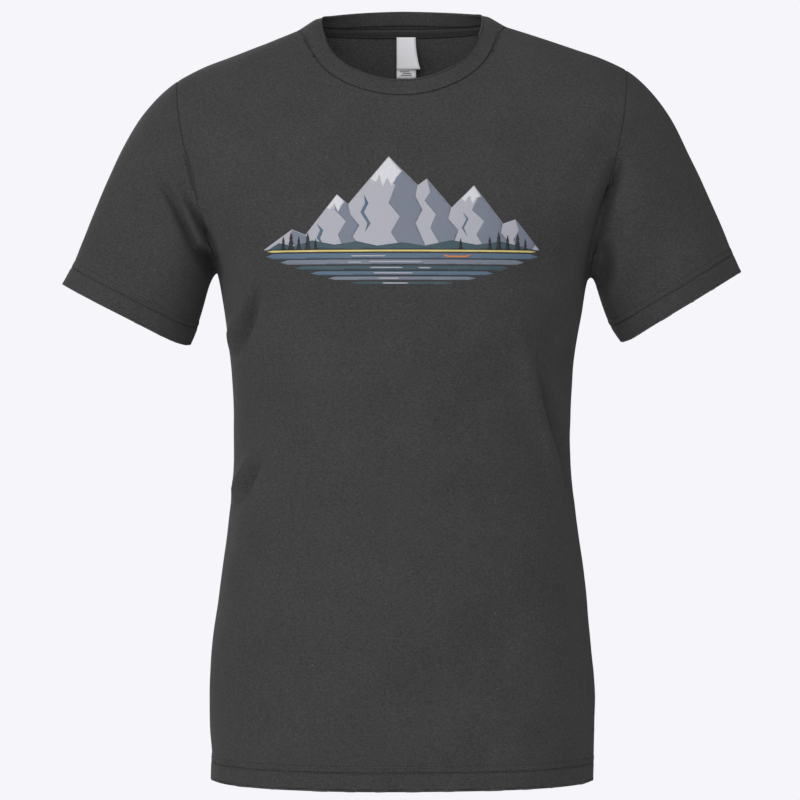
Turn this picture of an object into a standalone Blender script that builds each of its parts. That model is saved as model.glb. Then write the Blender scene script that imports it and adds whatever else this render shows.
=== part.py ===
"""A short-sleeved crew-neck T-shirt as it hangs on its wearer: jersey, rib neckband, hems, seams and labels.

Metres, +Z up. The chest faces -Y and the wearer's left sleeve lies towards +X. The origin is the middle of the
neck, level with the points where the shoulder seams meet the neckband, because the wearer's shoulders carry it.
"""

import math

import bmesh
import bpy
from mathutils import Vector

# Thicknesses and gaps
JERSEY = 0.0008  # single jersey of the panels
RIB = 0.0017  # neckband, rib folded double
TAPE = 0.0007  # tapes and overlocked seam edges
LABEL = 0.0005  # woven label
INK = 0.0004  # film of the chest print
EDGE_GAP = 0.0003  # between two pieces sewn edge to edge
LAYER_GAP = 0.0005  # between two layers that lie face to face

# Body: the outline from the front, and the depths in front of and behind the side seams
HEM_Z = -0.6955
HEM_FOLD = 0.020  # turned-up depth of the body hem
ARMPIT = Vector((0.1735, 0.0, -0.2285))
SHOULDER_POINT = Vector((0.2110, 0.0, -0.0375))
SHOULDER_MIDDLE = Vector((0.1500, 0.0, -0.0135))
NECK_POINT = Vector((0.0910, 0.0, 0.0055))  # where the shoulder seam meets the neckband
SQUARENESS = 2.25  # exponent of the body's oval section: 2 is an ellipse, more is squarer
COLUMNS = 5  # control columns from the centre line to a side seam

# Body sections from the hem to just under the arms: height, half width, depth in front, depth behind
BODY_SECTIONS = [
    (HEM_Z, 0.1780, 0.1130, 0.1130),
    (HEM_Z + HEM_FOLD, 0.1790, 0.1130, 0.1130),
    (-0.615, 0.1830, 0.1140, 0.1150),
    (-0.505, 0.1705, 0.1160, 0.1120),
    (-0.390, 0.1520, 0.1180, 0.1070),
    (-0.300, 0.1630, 0.1230, 0.1120),
]
ARMPIT_DEPTHS = {-1: 0.1250, 1: 0.1190}
ARMPIT_CENTRE_Z = {-1: -0.262, 1: -0.250}

# Centre line above the armpits, as (y, z), from the armpits up to the yoke
CHEST_LINE = [(-0.1240, -0.232), (-0.1220, -0.197), (-0.1180, -0.158), (-0.1110, -0.124)]
BACK_LINE = [(0.1190, -0.218), (0.1180, -0.175), (0.1110, -0.125), (0.0970, -0.078)]

# The row of the yoke that runs just outside the neckline and the shoulder seam
YOKE_FRONT = [
    (0.000, -0.1020, -0.097),
    (0.050, -0.0940, -0.087),
    (0.090, -0.0740, -0.063),
    (0.118, -0.0520, -0.033),
    (0.162, -0.0460, -0.037),
]
YOKE_BACK = [
    (0.000, 0.0780, -0.034),
    (0.050, 0.0740, -0.034),
    (0.092, 0.0620, -0.034),
    (0.122, 0.0510, -0.032),
    (0.163, 0.0480, -0.039),
]
NECKLINE_FRONT = [(0.000, -0.0930, -0.0725), (0.045, -0.0850, -0.0620), (0.079, -0.0550, -0.0370)]
NECKLINE_BACK = [(0.000, 0.0620, 0.0035), (0.045, 0.0580, 0.0040), (0.080, 0.0370, 0.0045)]

# The neckband's free edge, beside each point of the neckline
BAND_EDGE_FRONT = [(0.000, -0.0850, -0.0575), (0.040, -0.0780, -0.0480), (0.067, -0.0520, -0.0260)]
BAND_EDGE_BACK = [(0.000, 0.0590, 0.0205), (0.041, 0.0550, 0.0200), (0.071, 0.0360, 0.0180)]
BAND_EDGE_NECK_POINT = (0.0775, 0.0, 0.0110)

# Sleeve sections from the armhole to the hem: inner point (x, z), outer point (x, z), depth in front, depth behind
SLEEVE_SECTIONS = [
    (ARMPIT.xz, SHOULDER_POINT.xz, 0.076, 0.086),
    (Vector((0.1835, -0.2405)), Vector((0.2460, -0.0790)), 0.076, 0.082),
    (Vector((0.1890, -0.2575)), Vector((0.2740, -0.1350)), 0.067, 0.070),
    (Vector((0.1945, -0.2790)), Vector((0.3065, -0.2140)), 0.054, 0.055),
    (Vector((0.2030, -0.2945)), Vector((0.3160, -0.2320)), 0.049, 0.049),
]
SLEEVE_SIDES = 12

# The photographed shirt hangs a little askew: above these heights the shoulders and sleeves tilt, beside the neck
HANG_FROM_Z, HANG_FULL_Z = -0.450, -0.250
HANG_FULL_X = 0.120
HANG_TILT = 0.019

# Seams, tapes and labels
SEAM_HALF_WIDTH = 0.003
SEAM_GAP = 0.0008  # between a panel and the seam strip inside it
TAPE_WIDTH = 0.0075
LABEL_X = 0.0040
LABEL_WIDTH = 0.0180
SIZE_LABEL_LENGTH = 0.0390
MAKER_LABEL_LENGTH = 0.0310

# Chest print: outline of its ridge and of the bands under it, as (x, z) from the print's own base line
PRINT_BASE_Z = -0.2150
PRINT_OUTLINE = [
    (-0.128, 0.000),
    (-0.098, 0.021),
    (-0.086, 0.016),
    (-0.058, 0.052),
    (-0.048, 0.043),
    (-0.012, 0.086),
    (0.014, 0.060),
    (0.022, 0.066),
    (0.044, 0.040),
    (0.064, 0.060),
    (0.090, 0.026),
    (0.101, 0.030),
    (0.127, 0.000),
    (0.104, -0.012),
    (0.076, -0.022),
    (0.040, -0.031),
    (-0.041, -0.031),
    (-0.078, -0.022),
    (-0.106, -0.012),
]

TAGS = {"front": 0, "back": 1, "sleeve": 2, "front_hem": 3, "back_hem": 4, "sleeve_hem": 5, "neckband": 6}
FRONT, BACK = -1, 1


def fabric_material(name, colour, roughness=0.95):
    material = bpy.data.materials.new(name)
    material.use_nodes = True
    shader = material.node_tree.nodes["Principled BSDF"]
    shader.inputs["Base Color"].default_value = (*colour, 1.0)
    shader.inputs["Roughness"].default_value = roughness
    shader.inputs["Metallic"].default_value = 0.0
    return material


def clear_scene():
    for existing in list(bpy.data.objects):
        bpy.data.objects.remove(existing)


def oval_row(z_centre, z_side, half_width, depth, facing):
    """Points of a quarter of the body's oval section, from the centre line to the side."""
    row = []
    for column in range(COLUMNS + 1):
        share = column / COLUMNS
        angle = share * math.pi / 2
        x = half_width * math.sin(angle) ** (2 / SQUARENESS)
        y = facing * depth * math.cos(angle) ** (2 / SQUARENESS) if column < COLUMNS else 0.0
        row.append(Vector((x, y, z_centre + (z_side - z_centre) * share**2)))
    return row


def chest_row(centre, armhole_point):
    """A row above the armpits, from the centre line round to a point of the armhole."""
    y_centre, z_centre = centre
    row = []
    for column in range(COLUMNS):
        share = column / COLUMNS
        across = 0.5 * share + 0.5 * math.sin(share * math.pi / 2)
        y = armhole_point.y + (y_centre - armhole_point.y) * (1 - share**2.1)
        z = z_centre + (armhole_point.z - z_centre) * share
        row.append(Vector((armhole_point.x * across, y, z)))
    return row + [armhole_point]


def sleeve_ring(section):
    """Points round the sleeve, from the underarm over the front to the top and back down behind."""
    inner, outer, depth_front, depth_back = section
    middle, reach = (inner + outer) / 2, (outer - inner) / 2
    ring = []
    for side in range(SLEEVE_SIDES):
        angle = 2 * math.pi * side / SLEEVE_SIDES
        place = middle - reach * math.cos(angle)
        depth = depth_front if math.sin(angle) > 0 else depth_back
        ring.append(Vector((place.x, -depth * math.sin(angle), place.y)))
    return ring


def body_net(facing):
    """The control points of one half of the front or back panel, as rows from the hem to the shoulder."""
    armhole = sleeve_ring(SLEEVE_SECTIONS[0])
    armhole_up = armhole[1:6] if facing == FRONT else armhole[:6:-1]
    depth_index = 2 if facing == FRONT else 3
    net = [oval_row(s[0], s[0], s[1], s[depth_index], facing) for s in BODY_SECTIONS]
    net.append(oval_row(ARMPIT_CENTRE_Z[facing], ARMPIT.z, ARMPIT.x, ARMPIT_DEPTHS[facing], facing))
    centre_line = CHEST_LINE if facing == FRONT else BACK_LINE
    net += [chest_row(centre, point) for centre, point in zip(centre_line, armhole_up)]
    yoke = YOKE_FRONT if facing == FRONT else YOKE_BACK
    net.append([Vector(p) for p in yoke] + [armhole_up[4]])
    neckline = NECKLINE_FRONT if facing == FRONT else NECKLINE_BACK
    net.append([Vector(p) for p in neckline] + [NECK_POINT, SHOULDER_MIDDLE, SHOULDER_POINT])
    return net


def band_net(facing):
    """The control points of one quarter of the neckband, from the neckline to its free edge."""
    if facing == FRONT:
        neckline, edge = NECKLINE_FRONT, BAND_EDGE_FRONT
    else:
        neckline, edge = NECKLINE_BACK, BAND_EDGE_BACK
    lower = [Vector(p) for p in neckline] + [NECK_POINT]
    upper = [Vector(p) for p in edge] + [Vector(BAND_EDGE_NECK_POINT)]
    middle = [(a + b) / 2 for a, b in zip(lower, upper)]
    return [lower, middle, upper]


def sleeve_net():
    rings = [sleeve_ring(section) for section in SLEEVE_SECTIONS]
    return [ring + [ring[0]] for ring in rings]


def add_patch(mesh, net, tag_of_row=lambda row: 0):
    """Lays a grid of faces over the points of net, tags each row of faces, and says which vertex stands where."""
    rows, columns = len(net) - 1, len(net[0]) - 1
    made = bmesh.ops.create_grid(mesh, x_segments=columns, y_segments=rows, size=1.0)
    places = {v: (round((v.co.y + 1) / 2 * rows), round((v.co.x + 1) / 2 * columns)) for v in made["verts"]}
    for face in {f for v in made["verts"] for f in v.link_faces}:
        face.material_index = tag_of_row(min(places[v][0] for v in face.verts))
    for vertex, (row, column) in places.items():
        vertex.co = net[row][column]
    return places


def eased(share):
    """Goes smoothly from 0 to 1 as share does."""
    share = min(1.0, max(0.0, share))
    return share * share * (3 - 2 * share)


def hang(mesh):
    """Tilts the shoulders and sleeves as on the photographed shirt, and leaves the neck level."""
    for vertex in mesh.verts:
        height = eased((vertex.co.z - HANG_FROM_Z) / (HANG_FULL_Z - HANG_FROM_Z))
        vertex.co.z += HANG_TILT * vertex.co.x * eased(abs(vertex.co.x) / HANG_FULL_X) * height


def form_mesh():
    """The whole garment as one smooth surface, its faces tagged by panel."""
    mesh = bmesh.new()
    last_sleeve_row = len(SLEEVE_SECTIONS) - 2
    for facing, panel in ((FRONT, "front"), (BACK, "back")):
        tag, hem_tag = TAGS[panel], TAGS[panel + "_hem"]
        add_patch(mesh, body_net(facing), lambda row, t=tag, h=hem_tag: h if row == 0 else t)
        add_patch(mesh, band_net(facing), lambda row: TAGS["neckband"])
    sleeve = add_patch(
        mesh, sleeve_net(), lambda row: TAGS["sleeve_hem"] if row == last_sleeve_row else TAGS["sleeve"]
    )
    for edge in {e for v in sleeve for e in v.link_edges}:
        edge.seam = {sleeve[v][1] for v in edge.verts} in ({0}, {SLEEVE_SIDES})
    bmesh.ops.remove_doubles(mesh, verts=mesh.verts, dist=1e-5)
    bmesh.ops.mirror(mesh, geom=mesh.verts[:] + mesh.edges[:] + mesh.faces[:], axis="X", merge_dist=1e-5)
    hang(mesh)
    bmesh.ops.recalc_face_normals(mesh, faces=mesh.faces)
    data = bpy.data.meshes.new("garment_form")
    mesh.to_mesh(data)
    mesh.free()
    for tag in TAGS:
        data.materials.append(bpy.data.materials.new("tag_" + tag))
    form = bpy.data.objects.new("garment_form", data)
    bpy.context.scene.collection.objects.link(form)
    form.hide_render = True
    form.display_type = "WIRE"
    smooth = form.modifiers.new("smooth", "SUBSURF")
    smooth.levels = smooth.render_levels = 1
    bpy.context.view_layer.update()
    return bpy.data.meshes.new_from_object(form.evaluated_get(bpy.context.evaluated_depsgraph_get()))


def surface_copy(surface):
    """A bmesh of the whole garment's surface. Its points remember which way is outward."""
    mesh = bmesh.new()
    mesh.from_mesh(surface)
    bmesh.ops.triangulate(mesh, faces=mesh.faces)
    mesh.normal_update()
    outward = mesh.verts.layers.float_vector.new("outward")
    for vertex in mesh.verts:
        vertex[outward] = vertex.normal
    return mesh


def taken(surface, tags, keep=lambda centre: True):
    """The faces of the garment's surface that have one of these tags."""
    wanted = {TAGS[t] for t in tags}
    mesh = surface_copy(surface)
    rest = [f for f in mesh.faces if f.material_index not in wanted or not keep(f.calc_center_median())]
    bmesh.ops.delete(mesh, geom=rest, context="FACES")
    return mesh


def draw_back_border(mesh, distance):
    """Moves the border of a piece inwards along its own surface, so that it clears its neighbour."""
    moves = {}
    for vertex in (v for v in mesh.verts if v.is_boundary):
        inward = []
        for edge in (e for e in vertex.link_edges if e.is_boundary):
            face = edge.link_faces[0]
            side = face.normal.cross(edge.verts[1].co - edge.verts[0].co).normalized()
            if side.dot(face.calc_center_median() - vertex.co) < 0:
                side.negate()
            inward.append(side)
        first, second = inward
        moves[vertex] = (first + second) * distance / (1 + first.dot(second))
    for vertex, move in moves.items():
        vertex.co += move


def sink(mesh, depth):
    """Moves every point of an open surface towards the inside of the garment."""
    outward = mesh.verts.layers.float_vector["outward"]
    for vertex in mesh.verts:
        vertex.co -= vertex[outward] * depth


def link_object(name, mesh, material):
    for face in mesh.faces:
        face.material_index = 0
        face.smooth = True
    data = bpy.data.meshes.new(name)
    mesh.to_mesh(data)
    mesh.free()
    data.materials.append(material)
    data.set_sharp_from_angle(angle=math.radians(40))
    piece = bpy.data.objects.new(name, data)
    bpy.context.scene.collection.objects.link(piece)
    return piece


def cloth_object(name, mesh, material, thickness):
    """Turns an open surface into a closed piece of cloth, its thickness laid towards the inside."""
    outward = mesh.verts.layers.float_vector["outward"]
    made = bmesh.ops.extrude_face_region(mesh, geom=mesh.faces[:], use_keep_orig=True)
    for vertex in (v for v in made["geom"] if isinstance(v, bmesh.types.BMVert)):
        vertex.co -= vertex[outward] * thickness
    bmesh.ops.recalc_face_normals(mesh, faces=mesh.faces)
    return link_object(name, mesh, material)


def has_tags(vertex, groups):
    """True if the faces round a vertex touch every one of these groups of tags."""
    around = {face.material_index for face in vertex.link_faces}
    return all(around & {TAGS[t] for t in group} for group in groups)


def seam_points(seam, closed=False, start_trim=0.0, end_trim=0.0):
    """The stations of a strip along a line of vertices: place, direction, surface normal and the faces beside it.

    An open line is cut short at its ends by the two trims.
    """
    count = len(seam)
    stations = []
    for index, vertex in enumerate(seam):
        after = seam[(index + 1) % count] if closed or index + 1 < count else vertex
        before = seam[index - 1] if closed or index else vertex
        stations.append([vertex.co, (after.co - before.co).normalized(), vertex.normal, list(vertex.link_faces)])
    for end, neighbour, trim in ((0, 1, start_trim), (-1, -2, end_trim)):
        if trim:
            line = seam[neighbour].co - seam[end].co
            shared = [f for f in seam[end].link_faces if seam[neighbour] in f.verts]
            stations[end][0] = seam[end].co + line.normalized() * trim
            stations[end][2] = sum((f.normal for f in shared), Vector()).normalized()
            stations[end][3] = shared
    return stations


def strip_object(name, stations, closed, shares, depth, material):
    """A narrow strip that follows a seam on the inside of the garment.

    shares are the distances of its lines from the seam, from the first side of it to the other.
    """
    net, normals = [], []
    for place, along, seam_normal, faces in stations:
        across = seam_normal.cross(along).normalized()
        row, row_normals = [], []
        for share in shares:
            side = across if share > 0 else -across
            beside = [f for f in faces if (f.calc_center_median() - place).dot(side) > 0]
            normal = sum((f.normal for f in beside), Vector()).normalized() if share else seam_normal
            slope = (side - normal * side.dot(normal)).normalized()
            steepness = 1.0 if share else max(0.5, normal.dot(faces[0].normal))
            row.append(place + slope * abs(share) - normal * depth / steepness)
            row_normals.append(normal)
        net.append(row)
        normals.append(row_normals)
    if closed:
        net.append(net[0])
        normals.append(normals[0])
    mesh = bmesh.new()
    outward = mesh.verts.layers.float_vector.new("outward")
    for vertex, (row, column) in add_patch(mesh, net).items():
        vertex[outward] = normals[row][column]
    bmesh.ops.remove_doubles(mesh, verts=mesh.verts, dist=1e-6)
    return cloth_object(name, mesh, material, TAPE)


def seam_objects(surface, material):
    """The overlocked seam edges and tapes on the inside of the garment. The tape of the back neck is returned."""
    mesh = surface_copy(surface)
    under = JERSEY + SEAM_GAP
    both_sides = (-SEAM_HALF_WIDTH, 0.0, SEAM_HALF_WIDTH)
    past_seam = SEAM_HALF_WIDTH + 2 * LAYER_GAP
    panels = ("front", "back")
    for side, sign in (("left", 1), ("right", -1)):
        here = [v for v in mesh.verts if v.co.x * sign > NECK_POINT.x / 2]
        armhole = [v for v in here if has_tags(v, (panels, ("sleeve",)))]
        armpit = min(armhole, key=lambda v: v.co.z)
        shoulder = max(armhole, key=lambda v: v.co.z)
        joins = sorted((v for v in here if has_tags(v, (("front",), ("back",)))), key=lambda v: v.co.z)
        below = joins[: joins.index(armpit) + 1]
        above = joins[joins.index(armpit) + 1 :]
        above.sort(key=lambda v: abs(v.co.x))
        side_seam = seam_points(below, start_trim=2 * LAYER_GAP, end_trim=past_seam)
        strip_object(f"side_seam_{side}", side_seam, False, both_sides, under, material)
        shoulder_seam = seam_points(above, start_trim=past_seam, end_trim=past_seam)
        strip_object(f"shoulder_tape_{side}", shoulder_seam, False, both_sides, under, material)
        middle = (armpit.co + shoulder.co) / 2
        upward = (shoulder.co - middle).normalized()
        armhole.sort(key=lambda v: math.atan2(v.co.y, (v.co - middle).dot(upward)))
        strip_object(f"armhole_seam_{side}", seam_points(armhole, closed=True), True, both_sides, under, material)
        underarm = {v for v in here for e in v.link_edges if e.seam and has_tags(v, (("sleeve",),))}
        underarm = sorted(underarm, key=lambda v: (v.co - armpit.co).length)
        underarm_seam = seam_points(underarm, start_trim=past_seam, end_trim=2 * LAYER_GAP)
        strip_object(f"underarm_seam_{side}", underarm_seam, False, both_sides, under, material)
    neck_seam = [v for v in mesh.verts if has_tags(v, (("back",), ("neckband",)))]
    back_neck = [v for v in neck_seam if not has_tags(v, (("front",),))]
    back_neck.sort(key=lambda v: v.co.x)
    tape_lines = (EDGE_GAP, TAPE_WIDTH)
    tape = strip_object("neck_tape", seam_points(back_neck), False, tape_lines, under, material)
    mesh.free()
    return tape


def hem_object(name, surface, tags, keep, material):
    """The turned-up layer of a hem, lying inside the panel's edge."""
    mesh = taken(surface, tags, keep)
    sink(mesh, JERSEY + LAYER_GAP)
    cloth_object(name, mesh, material, JERSEY)


def label_object(name, length, top, material):
    """A flat woven label that hangs straight down from the middle of its sewn top edge."""
    mesh = bmesh.new()
    bmesh.ops.create_cube(mesh, size=1.0)
    bmesh.ops.scale(mesh, verts=mesh.verts, vec=(LABEL_WIDTH, LABEL, length))
    bmesh.ops.translate(mesh, verts=mesh.verts, vec=top - Vector((0.0, 0.0, length / 2)))
    link_object(name, mesh, material)


def label_objects(tape, material):
    """The two leaves of the neck label: the longer one under the tape's lower edge, the shorter one before it."""
    middle = sorted((v.co for v in tape.data.vertices if abs(v.co.x) < LABEL_WIDTH / 4), key=lambda co: co.z)
    under_tape = (middle[0] + middle[1]) / 2
    top = Vector((LABEL_X, under_tape.y, middle[0].z - EDGE_GAP))
    label_object("size_label", SIZE_LABEL_LENGTH, top, material)
    step = Vector((0.0, LABEL + EDGE_GAP, 0.0))
    label_object("maker_label", MAKER_LABEL_LENGTH, top - step, material)


def print_object(surface, material):
    """The film of ink on the chest: a thin skin of the front panel, cut to the print's outline."""
    skin = taken(surface, ("front",))
    sink(skin, -EDGE_GAP - INK)
    piece = cloth_object("chest_print", skin, material, INK)
    outline = bmesh.new()
    corners = [outline.verts.new((x, -0.2, PRINT_BASE_Z + z)) for x, z in PRINT_OUTLINE]
    made = bmesh.ops.extrude_face_region(outline, geom=[outline.faces.new(corners)])
    moved = [v for v in made["geom"] if isinstance(v, bmesh.types.BMVert)]
    bmesh.ops.translate(outline, verts=moved, vec=(0.0, 0.19, 0.0))
    bmesh.ops.recalc_face_normals(outline, faces=outline.faces)
    cutter = link_object("print_outline", outline, material)
    cutter.hide_render = True
    cutter.display_type = "WIRE"
    cut = piece.modifiers.new("outline", "BOOLEAN")
    cut.operation = "INTERSECT"
    cut.object = cutter


def main():
    clear_scene()
    surface = form_mesh()
    jersey = fabric_material("jersey_dark_grey", (0.046, 0.046, 0.046))
    rib = fabric_material("rib_dark_grey", (0.040, 0.040, 0.040))
    thread = fabric_material("seam_thread_dark_grey", (0.036, 0.036, 0.036))
    satin = fabric_material("label_white", (0.80, 0.80, 0.82), 0.6)
    ink = fabric_material("print_ink_grey", (0.42, 0.44, 0.50), 0.7)
    for name, tags in (("front_panel", ("front", "front_hem")), ("back_panel", ("back", "back_hem"))):
        panel = taken(surface, tags)
        draw_back_border(panel, EDGE_GAP / 2)
        cloth_object(name, panel, jersey, JERSEY)
    hem_object("body_hem_fold", surface, ("front_hem", "back_hem"), lambda centre: True, jersey)
    for side, sign in (("left", 1), ("right", -1)):
        sleeve = taken(surface, ("sleeve", "sleeve_hem"), lambda centre, s=sign: centre.x * s > 0)
        draw_back_border(sleeve, EDGE_GAP / 2)
        cloth_object(f"sleeve_{side}", sleeve, jersey, JERSEY)
        hem_object(
            f"sleeve_hem_fold_{side}", surface, ("sleeve_hem",), lambda centre, s=sign: centre.x * s > 0, jersey
        )
    band = taken(surface, ("neckband",))
    draw_back_border(band, EDGE_GAP / 2)
    cloth_object("neckband", band, rib, RIB)
    neck_tape = seam_objects(surface, thread)
    label_objects(neck_tape, satin)
    print_object(surface, ink)


main()
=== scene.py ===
"""A dark grey crew-neck T-shirt as it hangs on its wearer, with seams, stitches, labels and a chest print.

Metres, +Z up. The chest faces -Y, the wearer's left is +X, and the origin is the middle of the neck.
"""

import math

import bmesh
import bpy
import numpy as np
from mathutils import Matrix, Vector, noise
from mathutils.bvhtree import BVHTree
from mathutils.kdtree import KDTree


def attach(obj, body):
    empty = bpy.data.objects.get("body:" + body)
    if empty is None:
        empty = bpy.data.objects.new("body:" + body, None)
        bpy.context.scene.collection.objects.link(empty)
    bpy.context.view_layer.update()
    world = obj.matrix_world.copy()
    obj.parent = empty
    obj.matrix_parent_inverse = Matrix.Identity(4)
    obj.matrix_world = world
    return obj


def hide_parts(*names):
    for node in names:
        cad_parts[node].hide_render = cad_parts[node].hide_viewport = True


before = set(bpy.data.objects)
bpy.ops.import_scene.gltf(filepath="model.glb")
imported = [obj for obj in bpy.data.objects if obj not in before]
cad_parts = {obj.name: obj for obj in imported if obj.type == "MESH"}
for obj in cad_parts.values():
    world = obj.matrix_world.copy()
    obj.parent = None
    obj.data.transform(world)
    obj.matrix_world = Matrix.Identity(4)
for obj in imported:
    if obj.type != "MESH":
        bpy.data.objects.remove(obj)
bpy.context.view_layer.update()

# Studio. A pale floor lies as far below the shirt as its wearer's feet would, and fades at its rim into
# pale air. Soft boxes stand in front, at both sides and behind, and one hangs above the chest. The camera
# looks straight at the chest from three metres.
SHIRT_MIDDLE_Z = -0.346
FLOOR_Z = -1.45
FLOOR_RADIUS = 5.6
FLOOR_SOLID_RADIUS = 3.2
BACKDROP_COLOUR = (0.922, 0.914, 0.956)
AIR_LIGHT = 0.19
CAMERA_PLACE = Vector((-0.00185, -3.0, SHIRT_MIDDLE_Z))
CAMERA_SEES = 0.74
SENSOR = 36.0


def placed(name, data):
    """Puts a mesh, a light or a camera into the scene as an object at the origin."""
    made = bpy.data.objects.new(name, data)
    bpy.context.scene.collection.objects.link(made)
    return made


def object_from(mesh, name, material=None):
    """Puts a bmesh into the scene."""
    data = bpy.data.meshes.new(name)
    mesh.to_mesh(data)
    mesh.free()
    if material:
        data.materials.append(material)
    return placed(name, data)


def add_node(tree, kind, inputs=None, **settings):
    """Adds a node. inputs are numbers, or the sockets that feed them, by name or index."""
    made = tree.nodes.new(kind)
    for name, value in settings.items():
        setattr(made, name, value)
    for key, value in (inputs or {}).items():
        if isinstance(value, bpy.types.NodeSocket):
            tree.links.new(value, made.inputs[key])
        else:
            made.inputs[key].default_value = value
    return made


def maths(tree, operation, *values):
    """Adds a Math node and gives its result."""
    return add_node(tree, "ShaderNodeMath", dict(enumerate(values)), operation=operation).outputs[0]


def vector_maths(tree, operation, *values):
    """Adds a Vector Math node and gives its result, a vector."""
    return add_node(tree, "ShaderNodeVectorMath", dict(enumerate(values)), operation=operation).outputs[0]


def faded(tree, value, start, end, high=1.0, kind="SMOOTHSTEP"):
    """Falls from high to 0 as a value goes from start to end."""
    inputs = {0: value, 1: start, 2: end, 3: high, 4: 0.0}
    return add_node(tree, "ShaderNodeMapRange", inputs, interpolation_type=kind).outputs[0]


def plain_material(name, colour, roughness):
    """A material, its node tree and its Principled shader, ready for its textures."""
    material = bpy.data.materials.new(name)
    material.use_nodes = True
    shader = material.node_tree.nodes["Principled BSDF"]
    shader.inputs["Base Color"].default_value = (*colour, 1.0)
    shader.inputs["Roughness"].default_value = roughness
    return material, material.node_tree, shader


floor_mesh = bmesh.new()
bmesh.ops.create_circle(floor_mesh, cap_ends=True, segments=96, radius=FLOOR_RADIUS)
bmesh.ops.translate(floor_mesh, verts=floor_mesh.verts, vec=(0.0, 0.0, FLOOR_Z))
floor_paint, floor_tree, floor_shader = plain_material("floor_pale", (0.9, 0.89, 0.93), 0.9)
floor_place = add_node(floor_tree, "ShaderNodeTexCoord").outputs["Object"]
floor_flat = vector_maths(floor_tree, "MULTIPLY", floor_place, (1, 1, 0))
floor_reach = add_node(floor_tree, "ShaderNodeVectorMath", {0: floor_flat}, operation="LENGTH")
floor_fade = faded(floor_tree, floor_reach.outputs["Value"], FLOOR_SOLID_RADIUS, FLOOR_RADIUS)
floor_tree.links.new(floor_fade, floor_shader.inputs["Alpha"])
object_from(floor_mesh, "studio_floor", floor_paint)

air = bpy.data.worlds.new("studio_air")
air.use_nodes = True
air_light = air.node_tree.nodes["Background"]
air_light.inputs["Color"].default_value = (*BACKDROP_COLOUR, 1.0)
air_seen = add_node(air.node_tree, "ShaderNodeLightPath").outputs["Is Camera Ray"]
air_strength = maths(air.node_tree, "MULTIPLY_ADD", air_seen, 1.0 - AIR_LIGHT, AIR_LIGHT)
air.node_tree.links.new(air_strength, air_light.inputs["Strength"])
bpy.context.scene.world = air
bpy.context.scene.view_settings.view_transform = "Standard"


def soft_box(name, place, size, power):
    """Hangs a rectangular light that faces the shirt."""
    light = bpy.data.lights.new(name, "AREA")
    light.shape = "RECTANGLE"
    light.size, light.size_y = size
    light.energy = power
    box = placed(name, light)
    box.location = place
    towards_shirt = Vector((0.0, 0.0, SHIRT_MIDDLE_Z)) - Vector(place)
    box.rotation_euler = towards_shirt.to_track_quat("-Z", "Y").to_euler()


soft_box("soft_box_front", (-0.4, -3.6, 0.6), (2.4, 1.6), 56.0)
soft_box("soft_box_left", (-2.4, -1.7, 0.7), (1.2, 2.0), 30.0)
soft_box("soft_box_right", (2.5, -1.6, 0.4), (1.0, 1.6), 12.0)
soft_box("soft_box_top", (-0.2, -1.3, 1.9), (1.8, 1.2), 13.0)
soft_box("soft_box_back", (-0.8, 2.8, 0.8), (2.0, 2.0), 52.0)

camera_lens = bpy.data.cameras.new("camera")
camera_lens.sensor_width = SENSOR
camera_lens.lens = SENSOR * -CAMERA_PLACE.y / CAMERA_SEES
camera = placed("camera", camera_lens)
camera.location = CAMERA_PLACE
camera.rotation_euler = (math.radians(90), 0.0, 0.0)
bpy.context.scene.camera = camera

# The shirt's form. Every panel is cut from one smooth surface, so this comes first: the shape that the sewn
# jersey takes over a chest, two shoulders and two arms. It is a net of control points for each panel, sewn
# into one mesh and subdivided.
HEM_Z = -0.6955
HEM_TURN = 0.026
ARMPIT = Vector((0.1735, 0.0, -0.2285))
SHOULDER_POINT = Vector((0.211, 0.0, -0.0375))
SHOULDER_MIDDLE = Vector((0.15, 0.0, -0.015))
NECK_POINT = Vector((0.0885, 0.0, 0.0115))
SQUARENESS = 2.25
COLUMNS = 5
BODY_SECTIONS = [
    (HEM_Z, 0.178, 0.113, 0.113),
    (HEM_Z + HEM_TURN, 0.179, 0.113, 0.113),
    (-0.615, 0.183, 0.114, 0.115),
    (-0.505, 0.1705, 0.116, 0.112),
    (-0.39, 0.152, 0.118, 0.107),
    (-0.3, 0.163, 0.123, 0.112),
]
ARMPIT_DEPTHS = {-1: 0.125, 1: 0.119}
ARMPIT_CENTRE_Z = {-1: -0.262, 1: -0.25}
CHEST_LINE = [(-0.124, -0.232), (-0.122, -0.197), (-0.118, -0.158), (-0.111, -0.124)]
BACK_LINE = [(0.119, -0.218), (0.118, -0.175), (0.111, -0.125), (0.097, -0.078)]
YOKE = {
    -1: [
        (0.0, -0.102, -0.097),
        (0.05, -0.094, -0.087),
        (0.09, -0.074, -0.063),
        (0.118, -0.052, -0.033),
        (0.162, -0.046, -0.037),
    ],
    1: [
        (0.0, 0.078, -0.034),
        (0.05, 0.074, -0.034),
        (0.092, 0.062, -0.034),
        (0.122, 0.051, -0.032),
        (0.163, 0.048, -0.039),
    ],
}
NECKLINE = {
    -1: [(0.0, -0.093, -0.0725), (0.045, -0.085, -0.062), (0.079, -0.055, -0.037)],
    1: [(0.0, 0.062, 0.007), (0.045, 0.058, 0.0075), (0.078, 0.037, 0.0085)],
}
BAND_EDGE = {
    -1: [(0.0, -0.086, -0.0612), (0.04, -0.079, -0.0515), (0.068, -0.0525, -0.0275)],
    1: [(0.0, 0.059, 0.0205), (0.041, 0.055, 0.0185), (0.071, 0.036, 0.0135)],
}
BAND_EDGE_NECK_POINT = (0.0765, 0.0, 0.0095)
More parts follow.
